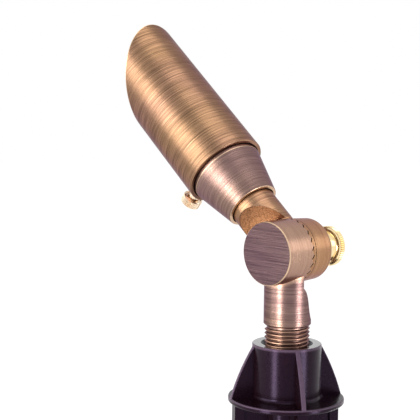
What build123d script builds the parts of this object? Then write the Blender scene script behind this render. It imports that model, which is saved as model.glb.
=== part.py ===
from build123d import *
from math import cos, pi, radians, sin, tan
import os

# Garden spike spotlight: a turned brass lamp head on a toothed knuckle, screwed into a moulded
# ground spike.  Z points up, the origin is the centre of the ground flange's underside, and the
# knuckle's pivot runs along X.  The head points along +Y and up.  All sizes are millimetres.

# ---------------------------------------------------------------- driving dimensions

# ground spike
flange_radius = 27.0
flange_thickness = 2.4
collar_radius = 16.1
collar_height = 27.4            # top of the collar above the flange's underside
collar_mouth_radius = 12.1      # widest part of the countersunk mouth
collar_mouth_depth = 2.5
socket_depth = 19.0             # how far the threaded socket reaches below the collar's top
socket_wall_clearance = 0.08    # radial, round the spigot
gusset_thickness = 2.3
gusset_bulge = 1.0              # how far a gusset's outer edge bows out
gusset_edge = 0.6               # rounding of that edge
collar_root = 1.6               # rounding where the collar meets the flange
gusset_angle = 60.0             # bearing of the first gusset, counter-clockwise from +X
gusset_count = 4
blade_length = 190.0            # from the flange's underside down to the point
blade_half_width = 25.2
blade_straight = 14.0           # depth over which the blades keep their full width
blade_web = 2.6
blade_bead = 5.0                # thickness of the bead along a blade's edge
blade_bead_width = 4.2
blade_tip_half_width = 3.1
point_length = 8.0
point_radius = 2.4                # at the point's root
point_end_radius = 0.7
cable_core_radius = 9.0
cable_core_depth = 34.0
cable_bore_radius = 5.0
cable_window_width = 9.0
cable_window_height = 16.0
cable_window_top = 6.0          # below the flange's underside

# stem
stem_radius = 11.0
stem_bottom = 36.0              # shoulder above the flange's underside
stem_edge = 0.7
spigot_radius = 9.9             # halfway up its thread
spigot_length = 26.0
spigot_neck_radius = 9.35       # at the thread's root, above the collar's mouth
stem_wire_radius = 5.2
stem_wire_rise = 2.0            # how far the wide wireway reaches above the shoulder
neck_wire_radius = 3.0
neck_wire_offset = 5.4          # the narrow wireway stands this far to the side of the axis

# wire gland in the end of the spigot
gland_flange_radius = 7.2
gland_flange_thickness = 1.2
gland_plug_length = 6.0
gland_hole_radius = 2.6
gland_clearance = 0.05

# knuckle
knuckle_height = 70.2           # pivot axis above the flange's underside
knuckle_half_length = 15.0      # from the mid plane to each end face
knuckle_rim_radius = 15.0       # at the teeth
knuckle_left_radius = 14.6      # at the stem half's end face
knuckle_right_radius = 14.4     # at the arm half's end face
knuckle_left_edge = 0.4
knuckle_right_round = 2.4
tooth_plane = 0.7               # the stem half's tooth crests, right of the mid plane
tooth_count = 24
tooth_depth = 1.2               # at the rim, and in proportion to the radius further in
tooth_inner_radius = 10.3
tooth_draw = 0.3                # the arm half stands off the stem half by this much
tooth_lean = 2.0                # degrees of play taken up, so one flank of each tooth is open
chamber_radius = 7.6            # wire chamber round the bolt, in both halves
chamber_end_wall = 6.5
seal_groove_inner = 8.2
seal_groove_depth = 1.2

# the two hollows that let one half swing past the other half's disc
arm_scoop_start = 15.6          # distances from the pivot axis
arm_scoop_mid = 22.5
arm_scoop_end = 26.4
arm_scoop_edge = 1.6            # the scoop's first edge, left of the tooth plane
neck_face = -1.2                # the neck's flat, right of the mid plane
stem_scoop_start = 19.4
stem_scoop_shoulder = 21.6
stem_scoop_knee = 30.0
stem_scoop_end = 33.0

# tension bolt, knob, washer and seal
bolt_radius = 3.95
bolt_thread_clearance = 0.05
bolt_pass_clearance = 0.3
bolt_reach = 12.5               # tip of the bolt, left of the mid plane
bolt_blind_wall = 2.0           # brass left between the bolt's hole and the outer face
washer_radius = 6.4
washer_thickness = 1.0
face_gap = 0.05                 # between flat faces that turn on each other
knob_hub_radius = 7.0
knob_hub_length = 10.2
knob_radius = 9.5
knob_thickness = 3.7
knob_edge = 0.5
knob_skin = 1.8                 # brass over the buried end of the bolt
knob_seal_section = 1.56
knob_seal_recess = 1.6

# head
head_tilt = 40.0                # head axis above the horizontal, in the rest pose
arm_radius = 11.0
arm_shoulder = 33.8             # distance of the arm's shoulder from the pivot axis
arm_spigot_radius = 7.0
arm_spigot_length = 9.2
arm_wire_radius = 5.0
arm_wire_start = 24.0
arm_seal_inner = 8.2
arm_seal_section = 1.4
lock_nut_flats = 18.0
lock_nut_thickness = 4.0
lock_nut_clearance = 0.06

housing_lip = 29.8              # rear edge
housing_lip_radius = 12.9
housing_lip_round = 0.6
housing_mouth_gap = 0.55        # dark ring between the arm and the housing's rear bore
cone_end = 52.0
housing_radius = 18.0
housing_front = 80.0
housing_floor = 4.2
housing_bore = 15.9
housing_bore_start = 58.0
housing_floor_radius = 11.5
housing_groove_place = 75.0
housing_groove_floor = 16.9
housing_groove_width = 2.0
housing_seal_section = 1.56

lamp_rim_radius = 17.5
lamp_rim_thickness = 2.0
lamp_wall = 1.4
lamp_neck_radius = 7.0
lamp_depth = 18.0
lamp_base_length = 7.8
lamp_base_radius = 6.4
lamp_fit = 0.05
lamp_pin_radius = 0.5
lamp_pin_spacing = 4.0
lamp_pin_length = 6.0
capsule_radius = 4.0
capsule_length = 12.0

lampholder_radius = 9.0
lampholder_thickness = 8.5
lampholder_gap = 0.2
lampholder_hole_clearance = 0.15
lead_radius = 0.9
lead_spacing = 4.2
splice_radius = 1.8
splice_length = 10.0
splice_place = 37.0             # where the leads enter the splices

lens_radius = 17.3
lens_thickness = 3.0
gasket_radius = 18.3
gasket_lip = 1.0
gasket_bore = 15.8

shroud_radius = 20.1
shroud_wall = 1.6
shroud_rear = 53.75
shroud_mouth = 121.1            # where the slanted cut crosses the head axis
shroud_cut_angle = 45.0
shroud_rib_gap = 0.2
shroud_rib_width = 1.6
shroud_rib_radius = 16.6
shroud_edge = 0.35

thumbscrew_place = 62.0
thumbscrew_shank_radius = 1.95
thumbscrew_neck_radius = 3.0
thumbscrew_neck_gap = 0.3       # neck stands this far off the shroud
thumbscrew_head_radius = 5.0
thumbscrew_head_length = 4.5
thumbscrew_head_place = 25.5    # inner face of the head, from the head axis
thumbscrew_head_edge = 0.4
thumbscrew_skin = 1.5           # brass over the buried end of the shank
thumbscrew_tip_gap = 0.05


# ---------------------------------------------------------------- shared values

socket_radius = spigot_radius + socket_wall_clearance
socket_floor = collar_height - socket_depth
blade_end = point_length - blade_length
spigot_end = stem_bottom - spigot_length
shroud_bore = shroud_radius - shroud_wall
lamp_front = housing_front + lamp_rim_thickness
lamp_neck_place = lamp_front - lamp_depth
lamp_base_end = lamp_neck_place - lamp_base_length
lampholder_front = lamp_base_end - lampholder_gap
lampholder_rear = lampholder_front - lampholder_thickness
gasket_front = lamp_front + lens_thickness + 2 * gasket_lip
right_face = tooth_plane + tooth_draw
washer_place = knuckle_half_length + face_gap
knob_hub_start = washer_place + washer_thickness + face_gap
knob_start = knob_hub_start + knob_hub_length
knob_end = knob_start + knob_thickness
head_place = Pos(0, 0, knuckle_height) * Rot(head_tilt - 90, 0, 0)
pivot_place = Pos(0, 0, knuckle_height)

os.makedirs("parts", exist_ok=True)


def save(name, solid):
    """Write one piece, or one group of like pieces, under its own name."""
    solid.label = name
    export_step(solid, "parts/" + name + ".step")


def turned(outline):
    """A turned piece about Z from its half section, a closed line in (radius, height)."""
    return revolve(Plane.XZ * make_face(outline), Axis.Z)


def turned_about_pivot(outline):
    """A turned piece about the X axis from its half section in (place along X, radius)."""
    return revolve(Plane.XY * make_face(outline), Axis.X)


def ring(radius_inner, radius_outer, start, end):
    """A plain flat ring about Z."""
    return turned(Polyline((radius_inner, start), (radius_outer, start), (radius_outer, end),
                           (radius_inner, end), close=True))


def rod(radius, start, end):
    """A round bar about Z."""
    return turned(Polyline((0, start), (radius, start), (radius, end), (0, end), close=True))


def cross_rod(radius, start, end):
    """A round bar about the X axis."""
    return turned_about_pivot(Polyline((start, 0), (start, radius), (end, radius), (end, 0), close=True))


def o_ring(radius_middle, section, place):
    """A round-section rubber ring about Z."""
    return revolve(Plane.XZ * Pos(radius_middle, place) * Circle(section / 2), Axis.Z)


def on_pivot(solid):
    """Lay a piece made about Z along the X axis instead."""
    return Rot(0, 90, 0) * solid


# ---------------------------------------------------------------- ground spike
# One moulding: a socket collar on a flange, four gussets between them, and a stake of four
# beaded blades below.  The cable drops through the socket and leaves by a window in the core.

def blade_outline():
    """Half of a blade's outline in (distance from the axis, height)."""
    return Polyline((0, 0), (blade_half_width, 0), (blade_half_width, -blade_straight),
                    (blade_tip_half_width, blade_end), (0, blade_end), close=True)


def bead_outline():
    """The strip along a blade's outer edge."""
    inner = blade_half_width - blade_bead_width
    return Polyline((inner, 0), (blade_half_width, 0), (blade_half_width, -blade_straight),
                    (blade_tip_half_width, blade_end), (0, blade_end),
                    (inner, -blade_straight), close=True)


def make_spike():
    base = rod(flange_radius, 0, flange_thickness)
    base = fillet(base.edges().filter_by(GeomType.CIRCLE), flange_thickness * 0.3)
    collar = rod(collar_radius, flange_thickness, collar_height)
    collar = fillet(collar.edges().filter_by(GeomType.CIRCLE).sort_by(Axis.Z)[-1], 0.5)
    core = turned(Polyline((0, 0), (cable_core_radius, 0), (cable_core_radius, -cable_core_depth * 0.7),
                           (blade_web / 2, -cable_core_depth), (0, -cable_core_depth), close=True))

    foot_radius = flange_radius - 0.2
    run = foot_radius - collar_radius
    rise = collar_height - flange_thickness
    bow_x = collar_radius + run / 2 + gusset_bulge * rise / (run + rise)
    bow_z = flange_thickness + rise / 2 + gusset_bulge * run / (run + rise)
    edge = ThreePointArc((foot_radius, flange_thickness), (bow_x, bow_z), (collar_radius, collar_height - 0.6))
    gusset_side = make_face(Curve() + [
        edge,
        Line((collar_radius, collar_height - 0.6), (collar_radius - 3, collar_height - 0.6)),
        Line((collar_radius - 3, collar_height - 0.6), (collar_radius - 3, flange_thickness / 2)),
        Line((collar_radius - 3, flange_thickness / 2), (foot_radius, flange_thickness / 2)),
        Line((foot_radius, flange_thickness / 2), (foot_radius, flange_thickness)),
    ])
    gusset = extrude(Plane.XZ * gusset_side, gusset_thickness / 2, both=True)
    gusset = fillet(gusset.edges().filter_by(GeomType.CIRCLE), gusset_edge)
    blade = extrude(Plane.XZ * make_face(blade_outline()), blade_web / 2, both=True)
    bead = extrude(Plane.XZ * make_face(bead_outline()), blade_bead / 2, both=True)
    point = turned(Polyline((0, blade_end + 1), (point_radius, blade_end + 1), (point_radius, blade_end),
                            (point_end_radius, -blade_length), (0, -blade_length), close=True))
    root_top = flange_thickness + collar_root
    root = turned(Curve() + [
        Line((collar_radius - 1, flange_thickness - 0.5), (collar_radius + collar_root, flange_thickness - 0.5)),
        Line((collar_radius + collar_root, flange_thickness - 0.5), (collar_radius + collar_root, flange_thickness)),
        CenterArc((collar_radius + collar_root, root_top), collar_root, 180, 90),
        Line((collar_radius, root_top), (collar_radius - 1, root_top)),
        Line((collar_radius - 1, root_top), (collar_radius - 1, flange_thickness - 0.5)),
    ])
    spike = base + collar + root + core + point
    for step in range(gusset_count):
        bearing = Rot(0, 0, gusset_angle + step * 360 / gusset_count)
        spike = spike + bearing * (gusset + blade + bead)

    mouth = turned(Polyline((0, collar_height), (collar_mouth_radius, collar_height),
                            (socket_radius, collar_height - collar_mouth_depth),
                            (socket_radius, socket_floor), (0, socket_floor), close=True))
    window_end = cable_window_top + cable_window_height
    cable_bore = rod(cable_bore_radius, -window_end, socket_floor)
    window = Pos(0, cable_core_radius, -(cable_window_top + window_end) / 2) * Box(
        cable_window_width, 2 * cable_core_radius, cable_window_height)
    window = Rot(0, 0, gusset_angle - 45) * window
    return spike - mouth - cable_bore - window


save("ground_spike", make_spike())


# ---------------------------------------------------------------- knuckle teeth
# Twenty-four radial V teeth on each half.  Every flank runs to a point on the pivot axis, so the
# teeth grow in proportion to the radius.  The stem half has the grooves, the arm half the ridges.

def tooth_wedge(radius_inner, radius_outer, base_place, sink):
    """One V between two radii.  Its base is the plane X = base_place and its ridge points to -X."""
    sections = []
    for radius in (radius_inner, radius_outer):
        half_width = radius * tan(pi / tooth_count)
        depth = tooth_depth * radius / knuckle_rim_radius - sink
        width = half_width * depth / (tooth_depth * radius / knuckle_rim_radius)
        sections.append(Plane(origin=(0, 0, radius), x_dir=(1, 0, 0), z_dir=(0, 0, 1)) * make_face(
            Polyline((base_place, -width), (base_place, width), (base_place - depth, 0), close=True)))
    return loft(sections, ruled=True)


def tooth_set(wedge, lean):
    """The full circle of teeth."""
    return [Rot(lean + (step + 0.5) * 360 / tooth_count, 0, 0) * wedge for step in range(tooth_count)]


# ---------------------------------------------------------------- stem half
# One brass casting: threaded spigot, stem, and the plain half of the knuckle.  The stem's right
# side is hollowed so that the other half's disc and arm can swing past it.

def make_stem():
    stem = rod(stem_radius, stem_bottom, knuckle_height)
    stem = chamfer(stem.edges().filter_by(GeomType.CIRCLE).sort_by(Axis.Z)[0], stem_edge)
    end = stem_radius + 1
    scoop_edge = Spline((neck_face, stem_scoop_start), (neck_face + 2.1, stem_scoop_shoulder),
                        (neck_face + 5.1, stem_scoop_knee), (end, stem_scoop_end))
    scoop = turned_about_pivot(Curve() + [
        Line((neck_face, 0), (neck_face, stem_scoop_start)),
        scoop_edge,
        Line((end, stem_scoop_end), (end, 0)),
        Line((end, 0), (neck_face, 0)),
    ])
    stem = stem - pivot_place * scoop

    left = -knuckle_half_length
    disc = turned_about_pivot(Polyline((left, 0), (left, knuckle_left_radius - knuckle_left_edge),
                                       (left + knuckle_left_edge, knuckle_left_radius),
                                       (tooth_plane, knuckle_rim_radius), (tooth_plane, 0), close=True))
    groove = tooth_wedge(tooth_inner_radius - 3, knuckle_rim_radius + 1, tooth_plane, 0)
    seal_seat = turned_about_pivot(Polyline((tooth_plane - seal_groove_depth, 0),
                                            (tooth_plane - seal_groove_depth, tooth_inner_radius),
                                            (tooth_plane, tooth_inner_radius), (tooth_plane, 0), close=True))
    land = turned_about_pivot(Polyline((left + 1, 0), (left + 1, seal_groove_inner),
                                       (tooth_plane, seal_groove_inner), (tooth_plane, 0), close=True))
    disc = disc - seal_seat - tooth_set(groove, 0) + land
    chamber = cross_rod(chamber_radius, left + chamber_end_wall, tooth_plane)
    bolt_hole = cross_rod(bolt_radius + bolt_thread_clearance, left + bolt_blind_wall, 0)
    stem = stem + pivot_place * disc - pivot_place * (chamber + bolt_hole)

    spigot = rod(spigot_neck_radius, spigot_end, stem_bottom + 1)
    spigot = spigot + rod(spigot_radius, spigot_end, collar_height - collar_mouth_depth)
    lower_way = rod(stem_wire_radius, spigot_end, stem_bottom + stem_wire_rise)
    upper_way = Pos(-neck_wire_offset, 0, 0) * rod(neck_wire_radius, stem_bottom, knuckle_height - chamber_radius / 2)
    return stem + spigot - lower_way - upper_way


save("stem_casting", make_stem())

gland = ring(gland_hole_radius, stem_wire_radius - gland_clearance, spigot_end, spigot_end + gland_plug_length)
gland = gland + ring(gland_hole_radius, gland_flange_radius, spigot_end - gland_flange_thickness, spigot_end)
save("wire_gland", gland)

seal_middle = (seal_groove_inner + tooth_inner_radius) / 2
seal_section = seal_groove_depth + tooth_draw - 0.04
knuckle_seal = on_pivot(o_ring(seal_middle, seal_section, tooth_plane - seal_groove_depth + seal_section / 2 + 0.02))
save("knuckle_seal", pivot_place * knuckle_seal)


# ---------------------------------------------------------------- arm half
# The other brass casting: the ridged half of the knuckle and the arm that carries the head.
# The arm's left side is scooped out on a curve round the pivot, as it clears the stem half.

def make_arm():
    arm = rod(arm_radius, 0, arm_shoulder)
    end = -arm_radius - 1
    scoop = turned_about_pivot(Curve() + [
        Line((right_face, 0), (right_face, arm_scoop_start)),
        Line((right_face, arm_scoop_start), (tooth_plane - arm_scoop_edge, arm_scoop_start)),
        ThreePointArc((tooth_plane - arm_scoop_edge, arm_scoop_start), (-arm_radius * 0.55, arm_scoop_mid),
                      (end, arm_scoop_end)),
        Line((end, arm_scoop_end), (end, 0)),
        Line((end, 0), (right_face, 0)),
    ])
    arm = arm - scoop
    spigot = rod(arm_spigot_radius, arm_shoulder - 2, arm_shoulder + arm_spigot_length)
    arm = arm + spigot
    seal_groove = ring(arm_seal_inner, arm_seal_inner + arm_seal_section + 0.1,
                       arm_shoulder - arm_seal_section, arm_shoulder)
    arm = arm - seal_groove
    arm = arm - rod(arm_wire_radius, arm_wire_start, arm_shoulder + arm_spigot_length)
    arm = head_place * arm

    right = knuckle_half_length
    disc = turned_about_pivot(Curve() + [
        Polyline((right_face, 0), (right_face, knuckle_rim_radius),
                 (right - knuckle_right_round, knuckle_right_radius)),
        RadiusArc((right - knuckle_right_round, knuckle_right_radius),
                  (right, knuckle_right_radius - knuckle_right_round), knuckle_right_round),
        Polyline((right, knuckle_right_radius - knuckle_right_round), (right, 0), (right_face, 0)),
    ])
    ridge = tooth_wedge(tooth_inner_radius + 0.1, knuckle_rim_radius - 0.05, right_face, 0.04)
    disc = disc + tooth_set(ridge, tooth_lean)
    chamber = cross_rod(chamber_radius, right_face, right - chamber_end_wall)
    bolt_hole = cross_rod(bolt_radius + bolt_pass_clearance, 0, right)
    recess = cross_rod(bolt_radius + knob_seal_section + 0.5, right - knob_seal_recess, right)
    arm = arm + pivot_place * disc - pivot_place * (chamber + bolt_hole + recess)
    narrow_way = Pos(neck_wire_offset, 0, 0) * rod(neck_wire_radius, chamber_radius / 2, arm_wire_start + 1)
    return arm - head_place * narrow_way


save("arm_casting", make_arm())

arm_seal = o_ring(arm_seal_inner + (arm_seal_section + 0.1) / 2, arm_seal_section - 0.02, arm_shoulder - arm_seal_section / 2)
save("arm_seal", head_place * arm_seal)


# ---------------------------------------------------------------- tension knob
# A knurled brass knob on a steel stud.  The stud runs through the arm half and screws into the
# stem half, and a washer and a rubber ring lie under the knob's hub.

washer = ring(bolt_radius + bolt_pass_clearance, washer_radius, washer_place, washer_place + washer_thickness)
save("tension_washer", pivot_place * on_pivot(washer))

knob_seal = o_ring(bolt_radius + bolt_thread_clearance + knob_seal_section / 2, knob_seal_section, knuckle_half_length - knob_seal_recess / 2)
save("knob_seal", pivot_place * on_pivot(knob_seal))

knob = turned(Polyline((0, knob_hub_start), (knob_hub_radius - knob_edge, knob_hub_start),
                       (knob_hub_radius, knob_hub_start + knob_edge), (knob_hub_radius, knob_start),
                       (knob_radius - knob_edge, knob_start), (knob_radius, knob_start + knob_edge),
                       (knob_radius, knob_end - knob_edge), (knob_radius - knob_edge, knob_end),
                       (0, knob_end), close=True))
stud_seat = rod(bolt_radius + bolt_thread_clearance, knob_hub_start, knob_end - knob_skin)
save("tension_knob", pivot_place * on_pivot(knob - stud_seat))

stud = rod(bolt_radius, -bolt_reach, knob_end - knob_skin - face_gap)
stud = chamfer(stud.edges().filter_by(GeomType.CIRCLE), 0.6)
save("tension_bolt", pivot_place * on_pivot(stud))


# ---------------------------------------------------------------- housing
# A turned brass cup: rear cone with a rolled lip, plain front barrel with a groove for the
# shroud's rubber ring.  It screws on to the arm's spigot and a thin nut locks it from inside.

def make_housing():
    mouth_radius = arm_radius + housing_mouth_gap
    floor_place = arm_shoulder + housing_floor
    outline = Polyline(
        (mouth_radius, housing_lip), (housing_lip_radius, housing_lip), (housing_radius, cone_end),
        (housing_radius, housing_front), (housing_bore, housing_front), (housing_bore, housing_bore_start),
        (housing_floor_radius, floor_place), (arm_spigot_radius + lock_nut_clearance, floor_place),
        (arm_spigot_radius + lock_nut_clearance, arm_shoulder + face_gap),
        (mouth_radius, arm_shoulder + face_gap), close=True)
    cup = turned(outline)
    lip_edges = cup.edges().filter_by(GeomType.CIRCLE).group_by(Axis.Z)[0].sort_by(SortBy.RADIUS)
    cup = fillet(lip_edges[-1], housing_lip_round)
    groove = ring(housing_groove_floor, housing_radius + 1, housing_groove_place - housing_groove_width / 2,
                  housing_groove_place + housing_groove_width / 2)
    return cup - groove


save("housing", head_place * make_housing())

nut_start = arm_shoulder + housing_floor
lock_nut = extrude(Plane.XY.offset(nut_start) * RegularPolygon(lock_nut_flats / 2, 6, major_radius=False),
                   lock_nut_thickness)
lock_nut = lock_nut - rod(arm_spigot_radius + lock_nut_clearance, nut_start, nut_start + lock_nut_thickness)
save("lock_nut", head_place * lock_nut)

seal_middle_radius = shroud_bore - 0.03 - housing_seal_section / 2
housing_seal = o_ring(seal_middle_radius, housing_seal_section, housing_groove_place)
save("shroud_seal", head_place * housing_seal)


# ---------------------------------------------------------------- lamp
# A 35 mm two-pin reflector lamp: pressed glass reflector, ceramic foot, quartz capsule and pins.

def make_reflector():
    rim_rear = housing_front
    inner_rim = lamp_rim_radius - lamp_wall
    outer = ThreePointArc((housing_bore - 0.6, rim_rear - 0.6), (lamp_neck_radius + 5.2, lamp_neck_place + 6.2),
                          (lamp_neck_radius, lamp_neck_place))
    inner = ThreePointArc((lamp_neck_radius - lamp_wall, lamp_neck_place + lamp_wall),
                          (lamp_neck_radius + 4.2, lamp_neck_place + 7.4), (inner_rim - 1.4, lamp_front))
    return turned(Curve() + [
        Line((inner_rim - 1.4, lamp_front), (lamp_rim_radius, lamp_front)),
        Line((lamp_rim_radius, lamp_front), (lamp_rim_radius, rim_rear)),
        Line((lamp_rim_radius, rim_rear), (housing_bore - 0.6, rim_rear)),
        Line((housing_bore - 0.6, rim_rear), (housing_bore - 0.6, rim_rear - 0.6)),
        outer,
        Line((lamp_neck_radius, lamp_neck_place), (lamp_neck_radius - lamp_wall, lamp_neck_place)),
        Line((lamp_neck_radius - lamp_wall, lamp_neck_place), (lamp_neck_radius - lamp_wall, lamp_neck_place + lamp_wall)),
        inner,
    ])


save("lamp_reflector", head_place * make_reflector())

foot = rod(lamp_base_radius, lamp_base_end, lamp_neck_place)
foot = chamfer(foot.edges().filter_by(GeomType.CIRCLE).sort_by(Axis.Z)[0], 0.8)
save("lamp_foot", head_place * foot)

capsule = rod(capsule_radius, lamp_neck_place + lamp_fit, lamp_neck_place + capsule_length)
capsule = fillet(capsule.edges().filter_by(GeomType.CIRCLE).sort_by(Axis.Z)[-1], capsule_radius * 0.9)
save("lamp_capsule", head_place * capsule)

pin = rod(lamp_pin_radius, lamp_base_end - lamp_pin_length, lamp_base_end)
pins = [Pos(side * lamp_pin_spacing / 2, 0, 0) * pin for side in (-1, 1)]
save("lamp_pins", head_place * Compound(children=pins))


# ---------------------------------------------------------------- lampholder and its leads
# A ceramic two-pin lampholder plugged on to the lamp.  Its two leads run back through the lock
# nut and end in crimp splices inside the arm.

holder = rod(lampholder_radius, lampholder_rear, lampholder_front)
holder = chamfer(holder.edges().filter_by(GeomType.CIRCLE), 0.7)
for side in (-1, 1):
    pin_hole = rod(lamp_pin_radius + lampholder_hole_clearance, lampholder_front - lamp_pin_length, lampholder_front)
    holder = holder - Pos(side * lamp_pin_spacing / 2, 0, 0) * pin_hole
save("lampholder", head_place * holder)

lead = rod(lead_radius, splice_place, lampholder_rear)
leads = [Pos(side * lead_spacing / 2, 0, 0) * lead for side in (-1, 1)]
save("lampholder_leads", head_place * Compound(children=leads))

splice = rod(splice_radius, splice_place - splice_length, splice_place)
splices = [Pos(side * lead_spacing / 2, 0, 0) * splice for side in (-1, 1)]
save("lead_splices", head_place * Compound(children=splices))


# ---------------------------------------------------------------- lens and gasket
# A toughened glass disc in a silicone channel ring, held against the lamp by the shroud's rib.

lens_start = lamp_front + gasket_lip
gasket = turned(Polyline((gasket_bore, lamp_front), (gasket_radius, lamp_front), (gasket_radius, gasket_front),
                         (gasket_bore + 0.6, gasket_front), (gasket_bore + 0.6, gasket_front - gasket_lip),
                         (lens_radius + 0.05, gasket_front - gasket_lip), (lens_radius + 0.05, lens_start),
                         (gasket_bore, lens_start), close=True))
save("lens_gasket", head_place * gasket)
save("lens_glass", head_place * rod(lens_radius, lens_start, lens_start + lens_thickness))


# ---------------------------------------------------------------- shroud
# A brass tube cut off at a slant to hide the glare, with an inner rib that holds the lens.

def make_shroud():
    reach = shroud_mouth + shroud_radius * tan(radians(shroud_cut_angle))
    rib_start = gasket_front + shroud_rib_gap
    tube = turned(Polyline(
        (shroud_bore, shroud_rear), (shroud_radius - shroud_edge, shroud_rear),
        (shroud_radius, shroud_rear + shroud_edge), (shroud_radius, reach + 1), (shroud_bore, reach + 1),
        (shroud_bore, rib_start + shroud_rib_width), (shroud_rib_radius, rib_start + shroud_rib_width),
        (shroud_rib_radius, rib_start), (shroud_bore, rib_start), close=True))
    cut_plane = Pos(0, 0, shroud_mouth) * Rot(-shroud_cut_angle, 0, 0)
    waste = cut_plane * Pos(0, 0, reach) * Box(4 * reach, 4 * reach, 2 * reach)
    screw_hole = Pos(0, 0, thumbscrew_place) * Rot(-90, 0, 0) * rod(
        thumbscrew_shank_radius + bolt_thread_clearance, 0, shroud_radius + 1)
    return tube - waste - screw_hole


save("shroud", head_place * make_shroud())


# ---------------------------------------------------------------- thumbscrew
# A polished brass head pressed on a threaded shank, through the underside of the shroud.  The
# shank's tip bears on the housing and stops the shroud from sliding and turning.

thumbscrew_head_end = thumbscrew_head_place + thumbscrew_head_length
thumbscrew_frame = head_place * Pos(0, 0, thumbscrew_place) * Rot(-90, 0, 0)
shank_end = thumbscrew_head_end - thumbscrew_skin


def make_thumbscrew_head():
    neck_start = shroud_radius + thumbscrew_neck_gap
    flat = thumbscrew_head_radius - thumbscrew_head_edge
    head = turned(Polyline(
        (0, neck_start), (thumbscrew_neck_radius, neck_start), (thumbscrew_neck_radius, thumbscrew_head_place),
        (flat, thumbscrew_head_place), (thumbscrew_head_radius, thumbscrew_head_place + thumbscrew_head_edge),
        (thumbscrew_head_radius, thumbscrew_head_end - thumbscrew_head_edge), (flat, thumbscrew_head_end),
        (0, thumbscrew_head_end), close=True))
    return head - rod(thumbscrew_shank_radius + bolt_thread_clearance, neck_start, shank_end + face_gap)


save("thumbscrew_head", thumbscrew_frame * make_thumbscrew_head())
save("thumbscrew_shank", thumbscrew_frame * rod(thumbscrew_shank_radius, housing_radius + thumbscrew_tip_gap, shank_end))
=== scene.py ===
import math

import bmesh
import bpy
from mathutils import Matrix, Vector


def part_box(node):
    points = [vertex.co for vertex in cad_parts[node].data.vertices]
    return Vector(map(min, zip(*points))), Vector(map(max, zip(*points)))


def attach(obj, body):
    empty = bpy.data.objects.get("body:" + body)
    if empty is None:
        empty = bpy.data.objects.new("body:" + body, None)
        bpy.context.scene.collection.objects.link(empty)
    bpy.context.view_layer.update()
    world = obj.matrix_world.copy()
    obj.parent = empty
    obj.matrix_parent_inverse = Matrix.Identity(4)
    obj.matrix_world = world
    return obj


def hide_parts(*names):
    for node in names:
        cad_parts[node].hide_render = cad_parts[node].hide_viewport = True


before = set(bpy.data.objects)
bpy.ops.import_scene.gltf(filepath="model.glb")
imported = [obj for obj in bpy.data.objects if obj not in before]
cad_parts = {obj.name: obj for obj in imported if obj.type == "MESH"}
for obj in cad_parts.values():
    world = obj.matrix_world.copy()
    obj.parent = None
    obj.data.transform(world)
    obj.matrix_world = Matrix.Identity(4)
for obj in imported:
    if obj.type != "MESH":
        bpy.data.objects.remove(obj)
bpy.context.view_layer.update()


# ---------------------------------------------------------------- camera
# The photograph was taken a little above the knuckle, from the left of the lamp and behind it,
# with a long lens.  The camera's place was worked out from the rings of the lamp head.

camera = bpy.data.objects.new("camera", bpy.data.cameras.new("camera"))
bpy.context.scene.collection.objects.link(camera)
camera.data.lens = 99.34
camera.data.sensor_width = 36.0
camera.data.clip_start = 0.01
camera.location = (-0.3944, -0.3535, 0.1431)
gaze = Vector((0.6935, 0.7132, -0.1023)).to_track_quat("-Z", "Y")
camera.rotation_mode = "QUATERNION"
camera.rotation_quaternion = (gaze.to_matrix() @ Matrix.Rotation(0.0114, 3, "Z")).to_quaternion()
bpy.context.scene.camera = camera


# ---------------------------------------------------------------- studio
# A white sweep with three soft boxes, a large one at the left, a wide one overhead and one at the
# right of the camera, and with two low strips that draw the upright bands of light.

box_target = Vector((0, 0.02, 0.06))


def soft_box(name, place, width, height, power, colour):
    """A soft box that faces the lamp."""
    lamp = bpy.data.lights.new(name, "AREA")
    lamp.shape = "RECTANGLE"
    lamp.size = width
    lamp.size_y = height
    lamp.energy = power
    lamp.color = colour
    box = bpy.data.objects.new(name, lamp)
    box.location = place
    box.visible_camera = False
    box.rotation_mode = "QUATERNION"
    box.rotation_quaternion = (box_target - Vector(place)).to_track_quat("-Z", "Y")
    bpy.context.scene.collection.objects.link(box)


soft_box("key_box", (-0.90, 0.28, 0.315), 0.94, 0.80, 10.2, (1.0, 0.97, 0.92))
soft_box("top_box", (0.04, -0.14, 1.02), 0.74, 0.62, 2.3, (1.0, 0.95, 0.84))
soft_box("right_box", (0.62, -0.60, 0.36), 0.50, 0.44, 1.0, (1.0, 0.96, 0.90))
soft_box("left_strip", (-0.50, -0.03, -0.01), 0.13, 0.30, 1.7, (1.0, 0.97, 0.88))
soft_box("right_strip", (0.09, -0.50, -0.01), 0.13, 0.30, 1.5, (1.0, 0.97, 0.93))


def shows_background(tree):
    """One where a ray from the camera, a gloss or a glass meets the background."""
    seen = tree.nodes.new("ShaderNodeLightPath")
    shown = seen.outputs["Is Camera Ray"]
    for label in ("Is Glossy Ray", "Is Transmission Ray"):
        either = tree.nodes.new("ShaderNodeMath")
        either.operation = "MAXIMUM"
        tree.links.new(shown, either.inputs[0])
        tree.links.new(seen.outputs[label], either.inputs[1])
        shown = either.outputs[0]
    return shown


world = bpy.data.worlds.new("studio")
bpy.context.scene.world = world
world.use_nodes = True
tree = world.node_tree
tree.nodes.clear()
dim = tree.nodes.new("ShaderNodeBackground")
dim.inputs["Color"].default_value = (0.30, 0.28, 0.32, 1)
white = tree.nodes.new("ShaderNodeBackground")
white.inputs["Color"].default_value = (1, 1, 1, 1)
mixed = tree.nodes.new("ShaderNodeMixShader")
out = tree.nodes.new("ShaderNodeOutputWorld")
tree.links.new(shows_background(tree), mixed.inputs[0])
tree.links.new(dim.outputs[0], mixed.inputs[1])
tree.links.new(white.outputs[0], mixed.inputs[2])
tree.links.new(mixed.outputs[0], out.inputs["Surface"])

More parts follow.
